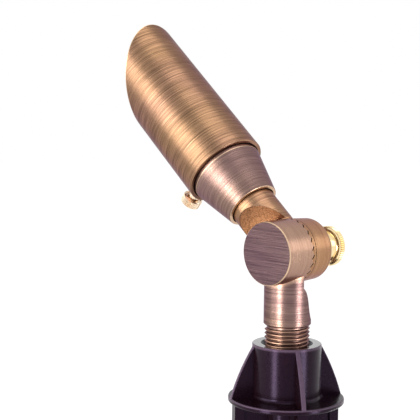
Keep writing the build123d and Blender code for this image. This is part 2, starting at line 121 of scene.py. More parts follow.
floor_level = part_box("ground_spike")[0].z - 0.001
floor_reach = 4
floor = bpy.data.meshes.new("floor")
floor.from_pydata([(-floor_reach, -floor_reach, floor_level), (floor_reach, -floor_reach, floor_level),
                   (floor_reach, floor_reach, floor_level), (-floor_reach, floor_reach, floor_level)],
                  [], [(0, 1, 2, 3)])
floor_object = bpy.data.objects.new("floor", floor)
bpy.context.scene.collection.objects.link(floor_object)
paper = bpy.data.materials.new("white_paper")
paper.use_nodes = True
tree = paper.node_tree
shader = tree.nodes["Principled BSDF"]
shader.inputs["Base Color"].default_value = (0.86, 0.86, 0.86, 1)
shader.inputs["Roughness"].default_value = 0.9
shader.inputs["Specular IOR Level"].default_value = 0.0
share = tree.nodes.new("ShaderNodeMath")
share.operation = "MULTIPLY"
share.inputs[1].default_value = 0.8
glow = tree.nodes.new("ShaderNodeEmission")
glow.inputs["Color"].default_value = (1, 1, 1, 1)
glow.inputs["Strength"].default_value = 1.25
mixed = tree.nodes.new("ShaderNodeMixShader")
tree.links.new(shows_background(tree), share.inputs[0])
tree.links.new(share.outputs[0], mixed.inputs[0])
tree.links.new(shader.outputs[0], mixed.inputs[1])
tree.links.new(glow.outputs[0], mixed.inputs[2])
tree.links.new(mixed.outputs[0], tree.nodes["Material Output"].inputs["Surface"])
floor.materials.append(paper)


# ---------------------------------------------------------------- ground spike
# One injection moulding in glossy dark brown plastic, filled to stand the sun.  Its skin has a
# faint ripple where it sank as it cooled, and a fine speckle from the filler; the gussets' bowed
# edges and the flange's lip carry a pale painted highlight, and the collar's end is smooth and shiny.

def socket(group, name, kind, way):
    """A named socket on a node group."""
    group.interface.new_socket(name, in_out=way, socket_type="NodeSocket" + kind)


def shader_group(name, inputs, outputs):
    """A shader node group with its named sockets, and its two end nodes."""
    group = bpy.data.node_groups.new(name, "ShaderNodeTree")
    for way, sockets in (("INPUT", inputs), ("OUTPUT", outputs)):
        for label, kind in sockets:
            socket(group, label, kind, way)
    return group, group.nodes.new("NodeGroupInput"), group.nodes.new("NodeGroupOutput")


def math_node(tree, operation, first, second=None):
    """One sum on a mask or a coordinate."""
    node = tree.nodes.new("ShaderNodeMath")
    node.operation = operation
    for place, value in enumerate((first, second)):
        if isinstance(value, (int, float)):
            node.inputs[place].default_value = value
        elif value is not None:
            tree.links.new(value, node.inputs[place])
    return node.outputs[0]


def moulded_skin_group():
    """The moulding's skin: a slow ripple as a height, and a fine speckle as a mask."""
    group, start, end = shader_group(
        "moulded_skin", (("Vector", "Vector"), ("Ripple scale", "Float"), ("Speckle scale", "Float")),
        (("Height", "Float"), ("Mask", "Float")))
    speckle_share = 0.06
    ripple = group.nodes.new("ShaderNodeTexNoise")
    speckle = group.nodes.new("ShaderNodeTexNoise")
    ripple.inputs["Detail"].default_value = 2.0
    speckle.inputs["Detail"].default_value = 3.0
    for noise, label in ((ripple, "Ripple scale"), (speckle, "Speckle scale")):
        group.links.new(start.outputs["Vector"], noise.inputs["Vector"])
        group.links.new(start.outputs[label], noise.inputs["Scale"])
    fine = math_node(group, "MULTIPLY", speckle.outputs["Fac"], speckle_share)
    group.links.new(math_node(group, "ADD", fine, ripple.outputs["Fac"]), end.inputs["Height"])
    group.links.new(speckle.outputs["Fac"], end.inputs["Mask"])
    return group


moulded_skin = moulded_skin_group()


def new_material(name):
    """A material, its tree, its shader and the object's own coordinates."""
    material = bpy.data.materials.new(name)
    material.use_nodes = True
    nodes = material.node_tree.nodes
    place = nodes.new("ShaderNodeTexCoord")
    return material, material.node_tree, nodes["Principled BSDF"], place.outputs["Object"]


def ramp(tree, source, stops):
    """A colour ramp fed by a mask."""
    node = tree.nodes.new("ShaderNodeValToRGB")
    while len(node.color_ramp.elements) < len(stops):
        node.color_ramp.elements.new(0.5)
    for element, (place, colour) in zip(node.color_ramp.elements, stops):
        element.position = place
        element.color = (*colour, 1)
    tree.links.new(source, node.inputs["Fac"])
    return node.outputs["Color"]


def span(tree, source, low, high):
    """A noise mask stretched to run from low to high."""
    node = tree.nodes.new("ShaderNodeMapRange")
    node.inputs["From Min"].default_value = 0.3
    node.inputs["From Max"].default_value = 0.7
    node.inputs["To Min"].default_value = low
    node.inputs["To Max"].default_value = high
    tree.links.new(source, node.inputs["Value"])
    return node.outputs["Result"]


def relief(tree, shader, height, strength, distance):
    """A bump that feeds the shader's normal."""
    node = tree.nodes.new("ShaderNodeBump")
    node.inputs["Strength"].default_value = strength
    node.inputs["Distance"].default_value = distance
    tree.links.new(height, node.inputs["Height"])
    tree.links.new(node.outputs["Normal"], shader.inputs["Normal"])


def skinned(name, ripple, speckle, colours, rough, strength, metallic=0.0):
    """A moulded or polished finish: two close tones, and a roughness that wanders a little."""
    ripple_height = 0.0004
    material, tree, shader, place = new_material(name)
    skin = tree.nodes.new("ShaderNodeGroup")
    skin.node_tree = moulded_skin
    skin.inputs["Ripple scale"].default_value = ripple
    skin.inputs["Speckle scale"].default_value = speckle
    tree.links.new(place, skin.inputs["Vector"])
    tones = ramp(tree, skin.outputs["Mask"], [(0.3, colours[0]), (0.7, colours[1])])
    tree.links.new(tones, shader.inputs["Base Color"])
    tree.links.new(span(tree, skin.outputs["Mask"], *rough), shader.inputs["Roughness"])
    shader.inputs["Metallic"].default_value = metallic
    relief(tree, shader, skin.outputs["Height"], strength, ripple_height)
    return material


def dress(name, material):
    """Gives a CAD node its finish."""
    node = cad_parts[name]
    node.data.materials.clear()
    node.data.materials.append(material)


def squares(tree, first, second):
    """The sum of two coordinates' squares."""
    return math_node(tree, "ADD", math_node(tree, "MULTIPLY", first, first),
                     math_node(tree, "MULTIPLY", second, second))


def tinted(tree, colour, blend, mask, tint):
    """Lays a tint over a colour where the mask is."""
    node = tree.nodes.new("ShaderNodeMix")
    node.data_type = "RGBA"
    node.blend_type = blend
    node.inputs[7].default_value = (*tint, 1)
    tree.links.new(mask, node.inputs[0])
    tree.links.new(colour, node.inputs[6])
    return node.outputs[2]


def band(tree, source, line, width):
    """One where a coordinate meets a line, falling to nothing over the band's width."""
    away = math_node(tree, "ABSOLUTE", math_node(tree, "SUBTRACT", source, line))
    share = math_node(tree, "SUBTRACT", 1.0, math_node(tree, "DIVIDE", away, width))
    return math_node(tree, "MAXIMUM", share, 0.0)


def moulding_edges(tree, place):
    """Masks for the painted highlight on the gussets' bowed edges and the flange's upper lip, and for the
    collar's end.
    """
    centre_radius, centre_height, bow_radius = -0.070223, -0.025601, 0.100983
    lip_radius, lip_height, collar_end, edge_width = 0.0262, 0.0020, 0.02735, 0.0005
    split = tree.nodes.new("ShaderNodeSeparateXYZ")
    tree.links.new(place, split.inputs[0])
    height = split.outputs[2]
    radius = math_node(tree, "SQRT", squares(tree, split.outputs[0], split.outputs[1]))
    reach = math_node(tree, "SQRT", squares(tree, math_node(tree, "SUBTRACT", radius, centre_radius),
                                            math_node(tree, "SUBTRACT", height, centre_height)))
    gusset = math_node(tree, "MULTIPLY", band(tree, reach, bow_radius, edge_width),
                       math_node(tree, "GREATER_THAN", height, lip_height))
    lip = math_node(tree, "MULTIPLY", band(tree, height, lip_height, edge_width),
                    math_node(tree, "GREATER_THAN", radius, lip_radius))
    return math_node(tree, "MAXIMUM", gusset, lip), math_node(tree, "GREATER_THAN", height, collar_end)


spike_plastic = skinned("spike_plastic", 55.0, 900.0, ((0.0050, 0.0014, 0.0026), (0.0085, 0.0026, 0.0046)),
                        (0.19, 0.27), 0.12)
tree = spike_plastic.node_tree
shader = tree.nodes["Principled BSDF"]
shader.inputs["Specular IOR Level"].default_value = 0.17
shader.inputs["Specular Tint"].default_value = (0.74, 0.54, 1.0, 1)
shader.inputs["Coat Roughness"].default_value = 0.06
shader.inputs["Coat IOR"].default_value = 1.7
edge_highlight, collar_end = moulding_edges(tree, tree.nodes["Texture Coordinate"].outputs["Object"])
plain = shader.inputs["Base Color"].links[0].from_socket
# Painted highlight: the base colour is lightened along the gussets' bowed edges and the flange's lip, where
# light catches their rounding.
edge_highlight_share = math_node(tree, "MULTIPLY", edge_highlight, 0.6)
tree.links.new(tinted(tree, plain, "MIX", edge_highlight_share, (0.13, 0.088, 0.135)), shader.inputs["Base Color"])
tree.links.new(collar_end, shader.inputs["Coat Weight"])
dress("ground_spike", spike_plastic)


# ---------------------------------------------------------------- stem
# A brass casting, turned on a lathe, browned in an acid bath and brushed once more, so that the
# brown stays in the finest lines.  The lines run round the stem and round the knuckle, and
# straight across its end face; the end face's edge is rubbed bright and also painted as a highlight.
# The knuckle's barrel is lightened as a painted highlight, its end face is darkened as painted shade,
# and the gaps between its teeth are darkened as painted shade.

def brushed_group():
    """Brush lines that lie across the vector's Z: a streak mask and a broad stain."""
    group, start, end = shader_group(
        "brushed_and_browned", (("Vector", "Vector"), ("Fine lines", "Float"), ("Broad lines", "Float"),
                                ("Stain scale", "Float")), (("Streak", "Float"), ("Stain", "Float")))
    broad_share = 0.22
    split = group.nodes.new("ShaderNodeSeparateXYZ")
    group.links.new(start.outputs["Vector"], split.inputs[0])
    lines = []
    for label, across, detail in (("Fine lines", 45.0, 4.0), ("Broad lines", 14.0, 3.0)):
        stretch = group.nodes.new("ShaderNodeCombineXYZ")
        for axis, scale in enumerate((across, across, start.outputs[label])):
            group.links.new(math_node(group, "MULTIPLY", split.outputs[axis], scale), stretch.inputs[axis])
        noise = group.nodes.new("ShaderNodeTexNoise")
        noise.inputs["Scale"].default_value = 1.0
        noise.inputs["Detail"].default_value = detail
        noise.inputs["Roughness"].default_value = 0.65
        group.links.new(stretch.outputs[0], noise.inputs["Vector"])
        lines.append(noise.outputs["Fac"])
    both = group.nodes.new("ShaderNodeMix")
    both.data_type = "FLOAT"
    both.inputs[0].default_value = broad_share
    group.links.new(lines[0], both.inputs[2])
    group.links.new(lines[1], both.inputs[3])
    stain = group.nodes.new("ShaderNodeTexNoise")
    stain.inputs["Detail"].default_value = 4.0
    group.links.new(start.outputs["Vector"], stain.inputs["Vector"])
    group.links.new(start.outputs["Stain scale"], stain.inputs["Scale"])
    group.links.new(both.outputs[0], end.inputs["Streak"])
    group.links.new(stain.outputs["Fac"], end.inputs["Stain"])
    return group


def wear_and_highlight_ring_group():
    """A band of the vector's Z, such as a rim that is rubbed bright and painted as a highlight, as a soft
    mask.
    """
    group, start, end = shader_group(
        "wear_and_highlight_ring", (("Vector", "Vector"), ("Place", "Float"), ("Width", "Float")), (("Mask", "Float"),))
    split = group.nodes.new("ShaderNodeSeparateXYZ")
    fade = group.nodes.new("ShaderNodeMapRange")
    fade.interpolation_type = "SMOOTHSTEP"
    fade.inputs["From Min"].default_value = 0.0
    fade.inputs["To Min"].default_value = 1.0
    fade.inputs["To Max"].default_value = 0.0
    group.links.new(start.outputs["Vector"], split.inputs[0])
    away = math_node(group, "SUBTRACT", split.outputs[2], start.outputs["Place"])
    group.links.new(math_node(group, "ABSOLUTE", away), fade.inputs["Value"])
    group.links.new(start.outputs["Width"], fade.inputs["From Max"])
    group.links.new(fade.outputs["Result"], end.inputs["Mask"])
    return group


brushed_and_browned = brushed_group()
wear_and_highlight_ring = wear_and_highlight_ring_group()
pivot = Vector((0, 0, 0.0702))
tilt = math.radians(40)
along_head = (tilt - math.pi / 2, 0, 0)
along_pivot = (0, math.pi / 2, 0)


def laid(tree, place, turn, origin):
    """Coordinates whose Z runs along a piece's own axis, from its own origin."""
    lay = tree.nodes.new("ShaderNodeMapping")
    lay.vector_type = "TEXTURE"
    lay.inputs["Location"].default_value = origin
    lay.inputs["Rotation"].default_value = turn
    tree.links.new(place, lay.inputs["Vector"])
    return lay.outputs[0]


def knuckle_lines(tree, place, lines):
    """Turns the brush lines round the pivot on the knuckle's barrel.  Also gives masks for its rim, which
    is rubbed bright and painted as a highlight, for the barrel's painted highlight, for the painted shade
    in the gaps between the teeth and for the end face's painted shade."""
    barrel_radius, rim_radius, tooth_radius, blend_radius = 0.01535, 0.01415, 0.01494, 0.0168
    blend_start, end_face_start = 0.0149, 0.0149
    tooth_middle, tooth_reach = 0.0008, 0.0016
    across = laid(tree, place, along_pivot, pivot)
    split = tree.nodes.new("ShaderNodeSeparateXYZ")
    tree.links.new(across, split.inputs[0])
    along = split.outputs[2]
    flat = squares(tree, split.outputs[0], split.outputs[1])
    inside = math_node(tree, "LESS_THAN", flat, barrel_radius ** 2)
    rim = math_node(tree, "MULTIPLY", inside, math_node(tree, "GREATER_THAN", flat, rim_radius ** 2))
    side = math_node(tree, "LESS_THAN", math_node(tree, "ABSOLUTE", along), end_face_start)
    choose = tree.nodes.new("ShaderNodeMix")
    choose.data_type = "VECTOR"
    tree.links.new(math_node(tree, "MULTIPLY", inside, side), choose.inputs[0])
    tree.links.new(lines, choose.inputs[4])
    tree.links.new(across, choose.inputs[5])
    middle = math_node(tree, "ABSOLUTE", math_node(tree, "SUBTRACT", along, tooth_middle))
    teeth_shade_mask = math_node(tree, "MULTIPLY", math_node(tree, "LESS_THAN", middle, tooth_reach),
                      math_node(tree, "LESS_THAN", flat, tooth_radius ** 2))
    fade = tree.nodes.new("ShaderNodeMapRange")
    fade.interpolation_type = "SMOOTHSTEP"
    fade.inputs["From Min"].default_value = blend_start ** 2
    fade.inputs["From Max"].default_value = blend_radius ** 2
    fade.inputs["To Min"].default_value = 1.0
    fade.inputs["To Max"].default_value = 0.0
    tree.links.new(flat, fade.inputs["Value"])
    barrel_highlight = math_node(tree, "MULTIPLY", fade.outputs["Result"], side)
    end_face_shade_mask = math_node(tree, "MULTIPLY", inside, math_node(tree, "SUBTRACT", 1.0, side))
    return choose.outputs[1], rim, barrel_highlight, teeth_shade_mask, end_face_shade_mask


def milled_scoop(tree, own, colour, roughness, height, start, end, skin):
    """Leaves the brass rough and orange where it was milled away below the turned skin."""
    split = tree.nodes.new("ShaderNodeSeparateXYZ")
    tree.links.new(own, split.inputs[0])
    below = math_node(tree, "LESS_THAN", squares(tree, split.outputs[0], split.outputs[1]), skin ** 2)
    from_middle = math_node(tree, "SUBTRACT", split.outputs[2], (start + end) / 2)
    reach = math_node(tree, "LESS_THAN", math_node(tree, "ABSOLUTE", from_middle), (end - start) / 2)
    cut = math_node(tree, "MULTIPLY", below, reach)
    grain = tree.nodes.new("ShaderNodeTexNoise")
    grain.inputs["Scale"].default_value = 1500.0
    grain.inputs["Detail"].default_value = 5.0
    grain.inputs["Roughness"].default_value = 0.7
    tree.links.new(own, grain.inputs["Vector"])
    milled_colour = ramp(tree, grain.outputs["Fac"],
                         [(0.36, (0.20, 0.085, 0.040)), (0.60, (0.62, 0.33, 0.165))])
    milled_height = math_node(tree, "MULTIPLY", grain.outputs["Fac"], 3.0)
    results = []
    for kind, turned, milled in (("RGBA", colour, milled_colour), ("FLOAT", roughness, 0.55),
                                 ("FLOAT", height, milled_height)):
        choose = tree.nodes.new("ShaderNodeMix")
        choose.data_type = kind
        first = 6 if kind == "RGBA" else 2
        tree.links.new(cut, choose.inputs[0])
        tree.links.new(turned, choose.inputs[first])
        if isinstance(milled, float):
            choose.inputs[first + 1].default_value = milled
        else:
            tree.links.new(milled, choose.inputs[first + 1])
        results.append(choose.outputs[2 if kind == "RGBA" else 0])
    return results


def browned_brass(name, turn, origin, dark, light, rings=(), knuckle=None, scoop=None, rough=(0.24, 0.36)):
    """Brushed, browned brass.  The brush lines run round the piece's own axis; rings are the bands
    rubbed bright by wear and painted as a highlight, knuckle lightens the knuckle's barrel as a painted
    highlight and darkens its end face and the gaps between its teeth as painted shade, and scoop is where a
    mill has cut."""
    fine_lines, broad_lines, stain_scale, stain_share = 3400.0, 1000.0, 28.0, 0.75
    teeth_shade_colour, end_face_shade_colour = (0.03, 0.02, 0.02), (0.52, 0.50, 0.66)
    wear_and_highlight_colour, wear_and_highlight_share, line_height = (0.93, 0.68, 0.44), 0.6, 0.00012
    material, tree, shader, place = new_material(name)
    own = laid(tree, place, turn, origin)
    vector = own
    if knuckle:
        vector, knuckle_rim, barrel_highlight, teeth_shade_mask, end_face_shade_mask = knuckle_lines(tree, place, own)
    finish = tree.nodes.new("ShaderNodeGroup")
    finish.node_tree = brushed_and_browned
    finish.inputs["Fine lines"].default_value = fine_lines
    finish.inputs["Broad lines"].default_value = broad_lines
    finish.inputs["Stain scale"].default_value = stain_scale
    tree.links.new(vector, finish.inputs["Vector"])
    streak = finish.outputs["Streak"]
    tone = tree.nodes.new("ShaderNodeMix")
    tone.data_type = "RGBA"
    tone.blend_type = "MULTIPLY"
    tone.inputs[0].default_value = stain_share
    tree.links.new(ramp(tree, streak, [(0.40, dark), (0.60, light)]), tone.inputs[6])
    stain = ramp(tree, finish.outputs["Stain"], [(0.35, (0.93, 0.85, 0.96)), (0.65, (1.0, 0.97, 0.84))])
    tree.links.new(stain, tone.inputs[7])
    colour = tone.outputs[2]
    if knuckle:
        # Painted light on the knuckle: the barrel is lightened as a painted highlight, the gaps between the
        # teeth and the end face are darkened as painted shade.
        colour = tinted(tree, colour, "SCREEN", barrel_highlight, knuckle)
        colour = tinted(tree, colour, "MULTIPLY", teeth_shade_mask, teeth_shade_colour)
        colour = tinted(tree, colour, "MULTIPLY", end_face_shade_mask, end_face_shade_colour)
    # The rims are rubbed bright by wear, and the same bands paint the highlight that light draws along these
    # edges.
    for mapping, ring_place, ring_width in rings:
        rim = tree.nodes.new("ShaderNodeGroup")
        rim.node_tree = wear_and_highlight_ring
        rim.inputs["Place"].default_value = ring_place
        rim.inputs["Width"].default_value = ring_width
        tree.links.new(laid(tree, place, *mapping) if mapping else own, rim.inputs["Vector"])
        mask = rim.outputs["Mask"]
        if knuckle:
            mask = math_node(tree, "MULTIPLY", mask, knuckle_rim)
        colour = tinted(tree, colour, "MIX", math_node(tree, "MULTIPLY", mask, wear_and_highlight_share), wear_and_highlight_colour)
    roughness = span(tree, streak, rough[1], rough[0])
    height = streak
    if scoop:
        colour, roughness, height = milled_scoop(tree, own, colour, roughness, height, *scoop)
    tree.links.new(colour, shader.inputs["Base Color"])
    tree.links.new(roughness, shader.inputs["Roughness"])
    shader.inputs["Metallic"].default_value = 1.0
    shader.inputs["Specular Tint"].default_value = (0.62, 0.53, 0.61, 1)
    relief(tree, shader, height, 0.6, line_height)
    return material


stem_brass = browned_brass("stem_brass", (0, 0, 0), (0, 0, 0), (0.125, 0.079, 0.073),
                           (0.262, 0.175, 0.146), rings=[((along_pivot, pivot), -0.01475, 0.00040)],
                           knuckle=(0.24, 0.135, 0.085))
dress("stem_casting", stem_brass)

# The spigot's pipe thread, cut on the lathe before the bath.  Its crests are rubbed bright and its
# roots stay dark.  It runs out into the shoulder and goes down out of sight in the socket.

thread_crest = 0.01045
thread_root = 0.00930
thread_pitch = 0.001814
thread_low = 0.0240
thread_high = 0.0358


def geometry_tree(name, inputs):
    """A geometry node tree that makes a mesh from named sizes."""
    group = bpy.data.node_groups.new(name, "GeometryNodeTree")
    socket(group, "Geometry", "Geometry", "INPUT")
    for label, kind in inputs:
        socket(group, label, kind, "INPUT")
    socket(group, "Geometry", "Geometry", "OUTPUT")
    return group, group.nodes.new("NodeGroupInput"), group.nodes.new("NodeGroupOutput")


def grown(name, group, values, material):
    """Runs a geometry node tree once and keeps the plain mesh."""
    seed = bpy.data.objects.new(name + "_seed", bpy.data.meshes.new(name + "_seed"))
    bpy.context.scene.collection.objects.link(seed)
    modifier = seed.modifiers.new("grow", "NODES")
    modifier.node_group = group
    for item in group.interface.items_tree:
        if item.in_out == "INPUT" and item.name in values:
            modifier[item.identifier] = values[item.name]
    bpy.context.view_layer.update()
    mesh = bpy.data.meshes.new_from_object(seed.evaluated_get(bpy.context.evaluated_depsgraph_get()))
    bpy.data.objects.remove(seed)
    mesh.name = name
    mesh.materials.clear()
    mesh.materials.append(material)
    piece = bpy.data.objects.new(name, mesh)
    bpy.context.scene.collection.objects.link(piece)
    return piece


def screw_thread_tree(material, share=0.48):
    """A right-handed V thread round Z: a kite carried along a spiral."""
    group, start, end = geometry_tree(
        "screw_thread", [("Root", "Float"), ("Crest", "Float"), ("Pitch", "Float"), ("Turns", "Float"),
                         ("Low", "Float")])
    spiral = group.nodes.new("GeometryNodeCurveSpiral")
    spiral.inputs["Resolution"].default_value = 72
    spiral.inputs["Reverse"].default_value = True
    kite = group.nodes.new("GeometryNodeCurvePrimitiveQuadrilateral")
    kite.mode = "KITE"
    sweep = group.nodes.new("GeometryNodeCurveToMesh")
    shift = group.nodes.new("GeometryNodeTransform")
    shift_by = group.nodes.new("ShaderNodeCombineXYZ")
    upright = group.nodes.new("GeometryNodeSetCurveNormal")
    upright.mode = "Z_UP"
    realise = group.nodes.new("GeometryNodeRealizeInstances")
    paint = group.nodes.new("GeometryNodeSetMaterial")
    paint.inputs["Material"].default_value = material
    root, pitch = start.outputs["Root"], start.outputs["Pitch"]
    flank = math_node(group, "MULTIPLY", pitch, share)
    group.links.new(root, spiral.inputs["Start Radius"])
    group.links.new(root, spiral.inputs["End Radius"])
    group.links.new(start.outputs["Turns"], spiral.inputs["Rotations"])
    group.links.new(math_node(group, "MULTIPLY", start.outputs["Turns"], pitch), spiral.inputs["Height"])
    deep = math_node(group, "SUBTRACT", start.outputs["Crest"], root)
    group.links.new(math_node(group, "MULTIPLY", deep, 2.0), kite.inputs["Width"])
    group.links.new(flank, kite.inputs["Bottom Height"])
    group.links.new(flank, kite.inputs["Top Height"])
    group.links.new(spiral.outputs[0], upright.inputs["Curve"])
    group.links.new(upright.outputs[0], sweep.inputs["Curve"])
    group.links.new(kite.outputs["Curve"], sweep.inputs["Profile Curve"])
    sweep.inputs["Fill Caps"].default_value = True
    group.links.new(sweep.outputs[0], shift.inputs["Geometry"])
    group.links.new(start.outputs["Low"], shift_by.inputs[2])
    group.links.new(shift_by.outputs[0], shift.inputs["Translation"])
    group.links.new(shift.outputs[0], realise.inputs[0])
    group.links.new(realise.outputs[0], paint.inputs["Geometry"])
    group.links.new(paint.outputs[0], end.inputs[0])
    return group


thread_brass = browned_brass("thread_brass", (0, 0, 0), (0, 0, 0), (0.10, 0.056, 0.046),
                             (0.44, 0.275, 0.20), rough=(0.25, 0.36))
stem_thread = grown("stem_thread", screw_thread_tree(thread_brass),
                    {"Root": thread_root, "Crest": thread_crest, "Pitch": thread_pitch, "Low": thread_low,
                     "Turns": (thread_high - thread_low) / thread_pitch - 0.5}, thread_brass)
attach(stem_thread, "stem")


# ---------------------------------------------------------------- arm and its half of the knuckle
# The second brass casting.  Its teeth are as cast, its arm is turned, and the scoop that clears
# the other half is left rough and orange from the mill.

# The knuckle's barrel is lightened as a painted highlight, and its end face and the gaps between its teeth
# are darkened as painted shade.
arm_brass = browned_brass("arm_brass", along_head, pivot, (0.20, 0.115, 0.068), (0.40, 0.245, 0.145),
                          knuckle=(0.155, 0.066, 0.030), scoop=(0.0140, 0.0272, 0.01065))
dress("arm_casting", arm_brass)


# ---------------------------------------------------------------- tension knob
# A brass knob, turned bright and lacquered, with a straight knurl rolled on its rim.  It is pressed
# on a steel stud and draws the two halves of the knuckle together.

polished_brass = skinned("polished_brass", 260.0, 2400.0, ((0.88, 0.68, 0.36), (0.95, 0.78, 0.48)),
                         (0.12, 0.22), 0.05, metallic=1.0)
knob_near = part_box("tension_knob")[0].x
knob_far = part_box("tension_knob")[1].x
knob_rim = (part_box("tension_knob")[1].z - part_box("tension_knob")[0].z) / 2
knob_disc = 0.0037
knob_hub = 0.0070
knurl_depth = 0.00045
knurl_count = 58


def turned_mesh(name, outline, steps, axis_frame, facets=False):
    """A turned piece from its half section, a run of (place along the axis, radius) from axis to axis,
    or a closed loop where the piece is a ring."""
    on_axis = 1e-7
    mesh = bmesh.new()
    rings = []
    for place, radius in outline:
        if radius < on_axis:
            rings.append([mesh.verts.new((0, 0, place))])
        else:
            rings.append([mesh.verts.new((radius * math.cos(2 * math.pi * step / steps),
                                          radius * math.sin(2 * math.pi * step / steps), place))
                          for step in range(steps)])
    if outline[0][1] > on_axis:
        rings.append(rings[0])
    for low, high in zip(rings, rings[1:]):
        for step in range(steps):
            after = (step + 1) % steps
            if len(low) == 1:
                mesh.faces.new((low[0], high[after], high[step]))
            elif len(high) == 1:
                mesh.faces.new((low[step], low[after], high[0]))
            else:
                mesh.faces.new((low[step], low[after], high[after], high[step]))
    bmesh.ops.recalc_face_normals(mesh, faces=mesh.faces)
    bmesh.ops.transform(mesh, matrix=axis_frame, verts=mesh.verts)
    data = bpy.data.meshes.new(name)
    mesh.to_mesh(data)
    mesh.free()
    for face in data.polygons:
        face.use_smooth = not facets
    if not facets:
        data.set_sharp_from_angle(angle=math.radians(32))
    piece = bpy.data.objects.new(name, data)
    bpy.context.scene.collection.objects.link(piece)
    return piece


on_pivot = Matrix.Translation(pivot) @ Matrix.Rotation(math.pi / 2, 4, "Y")
knob_start = knob_far - knob_disc
knob_bore = 0.0040
knob_skin = 0.0018
knob_body = turned_mesh("tension_knob_body", [
    (knob_far - knob_skin, 0.0), (knob_far - knob_skin, knob_bore), (knob_near, knob_bore),
    (knob_near, knob_hub - 0.0004), (knob_near + 0.0004, knob_hub), (knob_near + 0.0055, knob_hub),
    (knob_near + 0.0058, knob_hub - 0.0003), (knob_near + 0.0064, knob_hub - 0.0003),
    (knob_near + 0.0067, knob_hub), (knob_start - 0.0007, knob_hub), (knob_start - 0.0002, knob_hub + 0.0002),
    (knob_start, knob_hub + 0.0007), (knob_start, knob_rim - 0.0011),
    (knob_start + 0.0005, knob_rim - knurl_depth), (knob_far - 0.0006, knob_rim - knurl_depth),
    (knob_far, knob_rim - 0.0012), (knob_far, knob_rim - 0.0025), (knob_far - 0.0004, knob_rim - 0.0028),
    (knob_far - 0.0004, 0.0030), (knob_far - 0.0001, 0.0012), (knob_far - 0.0001, 0.0)], 96, on_pivot)
knob_body.data.materials.append(polished_brass)


def knurl_tree(material):
    """A ring of V ridges round Z: square bars stood on edge on the points of a circle."""
    group, start, end = geometry_tree(
        "straight_knurl", [("Radius", "Float"), ("Depth", "Float"), ("Length", "Float"), ("Low", "Float"),
                           ("Count", "Int")])
    circle = group.nodes.new("GeometryNodeMeshCircle")
    bar = group.nodes.new("GeometryNodeMeshCylinder")
    bar.inputs["Vertices"].default_value = 4
    place = group.nodes.new("GeometryNodeInstanceOnPoints")
    where = group.nodes.new("GeometryNodeInputPosition")
    turn = group.nodes.new("FunctionNodeAlignRotationToVector")
    turn.axis = "X"
    shift = group.nodes.new("GeometryNodeTransform")
    shift_by = group.nodes.new("ShaderNodeCombineXYZ")
    realise = group.nodes.new("GeometryNodeRealizeInstances")
    paint = group.nodes.new("GeometryNodeSetMaterial")
    paint.inputs["Material"].default_value = material
    group.links.new(start.outputs["Count"], circle.inputs["Vertices"])
    inner = math_node(group, "SUBTRACT", start.outputs["Radius"], start.outputs["Depth"])
    group.links.new(inner, circle.inputs["Radius"])
    group.links.new(start.outputs["Depth"], bar.inputs["Radius"])
    group.links.new(start.outputs["Length"], bar.inputs["Depth"])
    group.links.new(circle.outputs[0], place.inputs["Points"])
    group.links.new(bar.outputs["Mesh"], place.inputs["Instance"])
    group.links.new(where.outputs[0], turn.inputs["Vector"])
    group.links.new(turn.outputs[0], place.inputs["Rotation"])
    group.links.new(place.outputs[0], realise.inputs[0])
    group.links.new(start.outputs["Low"], shift_by.inputs[2])
    group.links.new(realise.outputs[0], shift.inputs["Geometry"])
    group.links.new(shift_by.outputs[0], shift.inputs["Translation"])
    group.links.new(shift.outputs[0], paint.inputs["Geometry"])
    group.links.new(paint.outputs[0], end.inputs[0])
    return group


def darken_roots(piece, material, axis_frame, inner, outer):
    """Lets the polish's residue darken the ground between the ridges of a knurl."""
    piece.data.materials.append(material)
    back = axis_frame.inverted()
    for face in piece.data.polygons:
        middle = back @ face.center
        if inner < math.hypot(middle.x, middle.y) < outer:
            face.material_index = 1


knurl_root = skinned("knurl_root", 260.0, 2400.0, ((0.16, 0.085, 0.035), (0.30, 0.17, 0.075)),
                     (0.30, 0.42), 0.05, metallic=1.0)
root_margin = 0.00012
darken_roots(knob_body, knurl_root, on_pivot, knob_rim - knurl_depth - root_margin, knob_rim)
straight_knurl = knurl_tree(polished_brass)
knob_knurl = grown("tension_knob_knurl", straight_knurl,
                   {"Radius": knob_rim, "Depth": knurl_depth, "Length": knob_disc - 0.0009,
                    "Low": knob_far - knob_disc / 2, "Count": knurl_count}, polished_brass)
knob_knurl.data.transform(on_pivot)
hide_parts("tension_knob")
for piece in (knob_body, knob_knurl):
    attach(piece, "knob")


# ---------------------------------------------------------------- housing and shroud
# Both are turned from brass, browned and brushed round their axis.  Their rims are rubbed bright by wear and
# painted as a highlight as well.

housing_brass = browned_brass("housing_brass", along_head, pivot, (0.155, 0.100, 0.088),
                              (0.285, 0.190, 0.160), rings=[(None, 0.0298, 0.0004), (None, 0.0520, 0.0003)])
dress("housing", housing_brass)
mouth_slant = math.radians(45)
mouth_reach = 0.1211
mouth_plane = (tilt - math.pi / 2 - mouth_slant, 0, 0)
head_axis = Vector((0, math.cos(tilt), math.sin(tilt)))
shroud_brass = browned_brass("shroud_brass", along_head, pivot, (0.138, 0.082, 0.050),
                             (0.370, 0.224, 0.138),
                             rings=[((mouth_plane, pivot + head_axis * mouth_reach), -0.0001, 0.0003)])
dress("shroud", shroud_brass)


# ---------------------------------------------------------------- thumbscrew
# A pale, polished brass head with a straight knurl and a round neck, pressed on a threaded shank
# that goes through the underside of the shroud and bears on the housing.

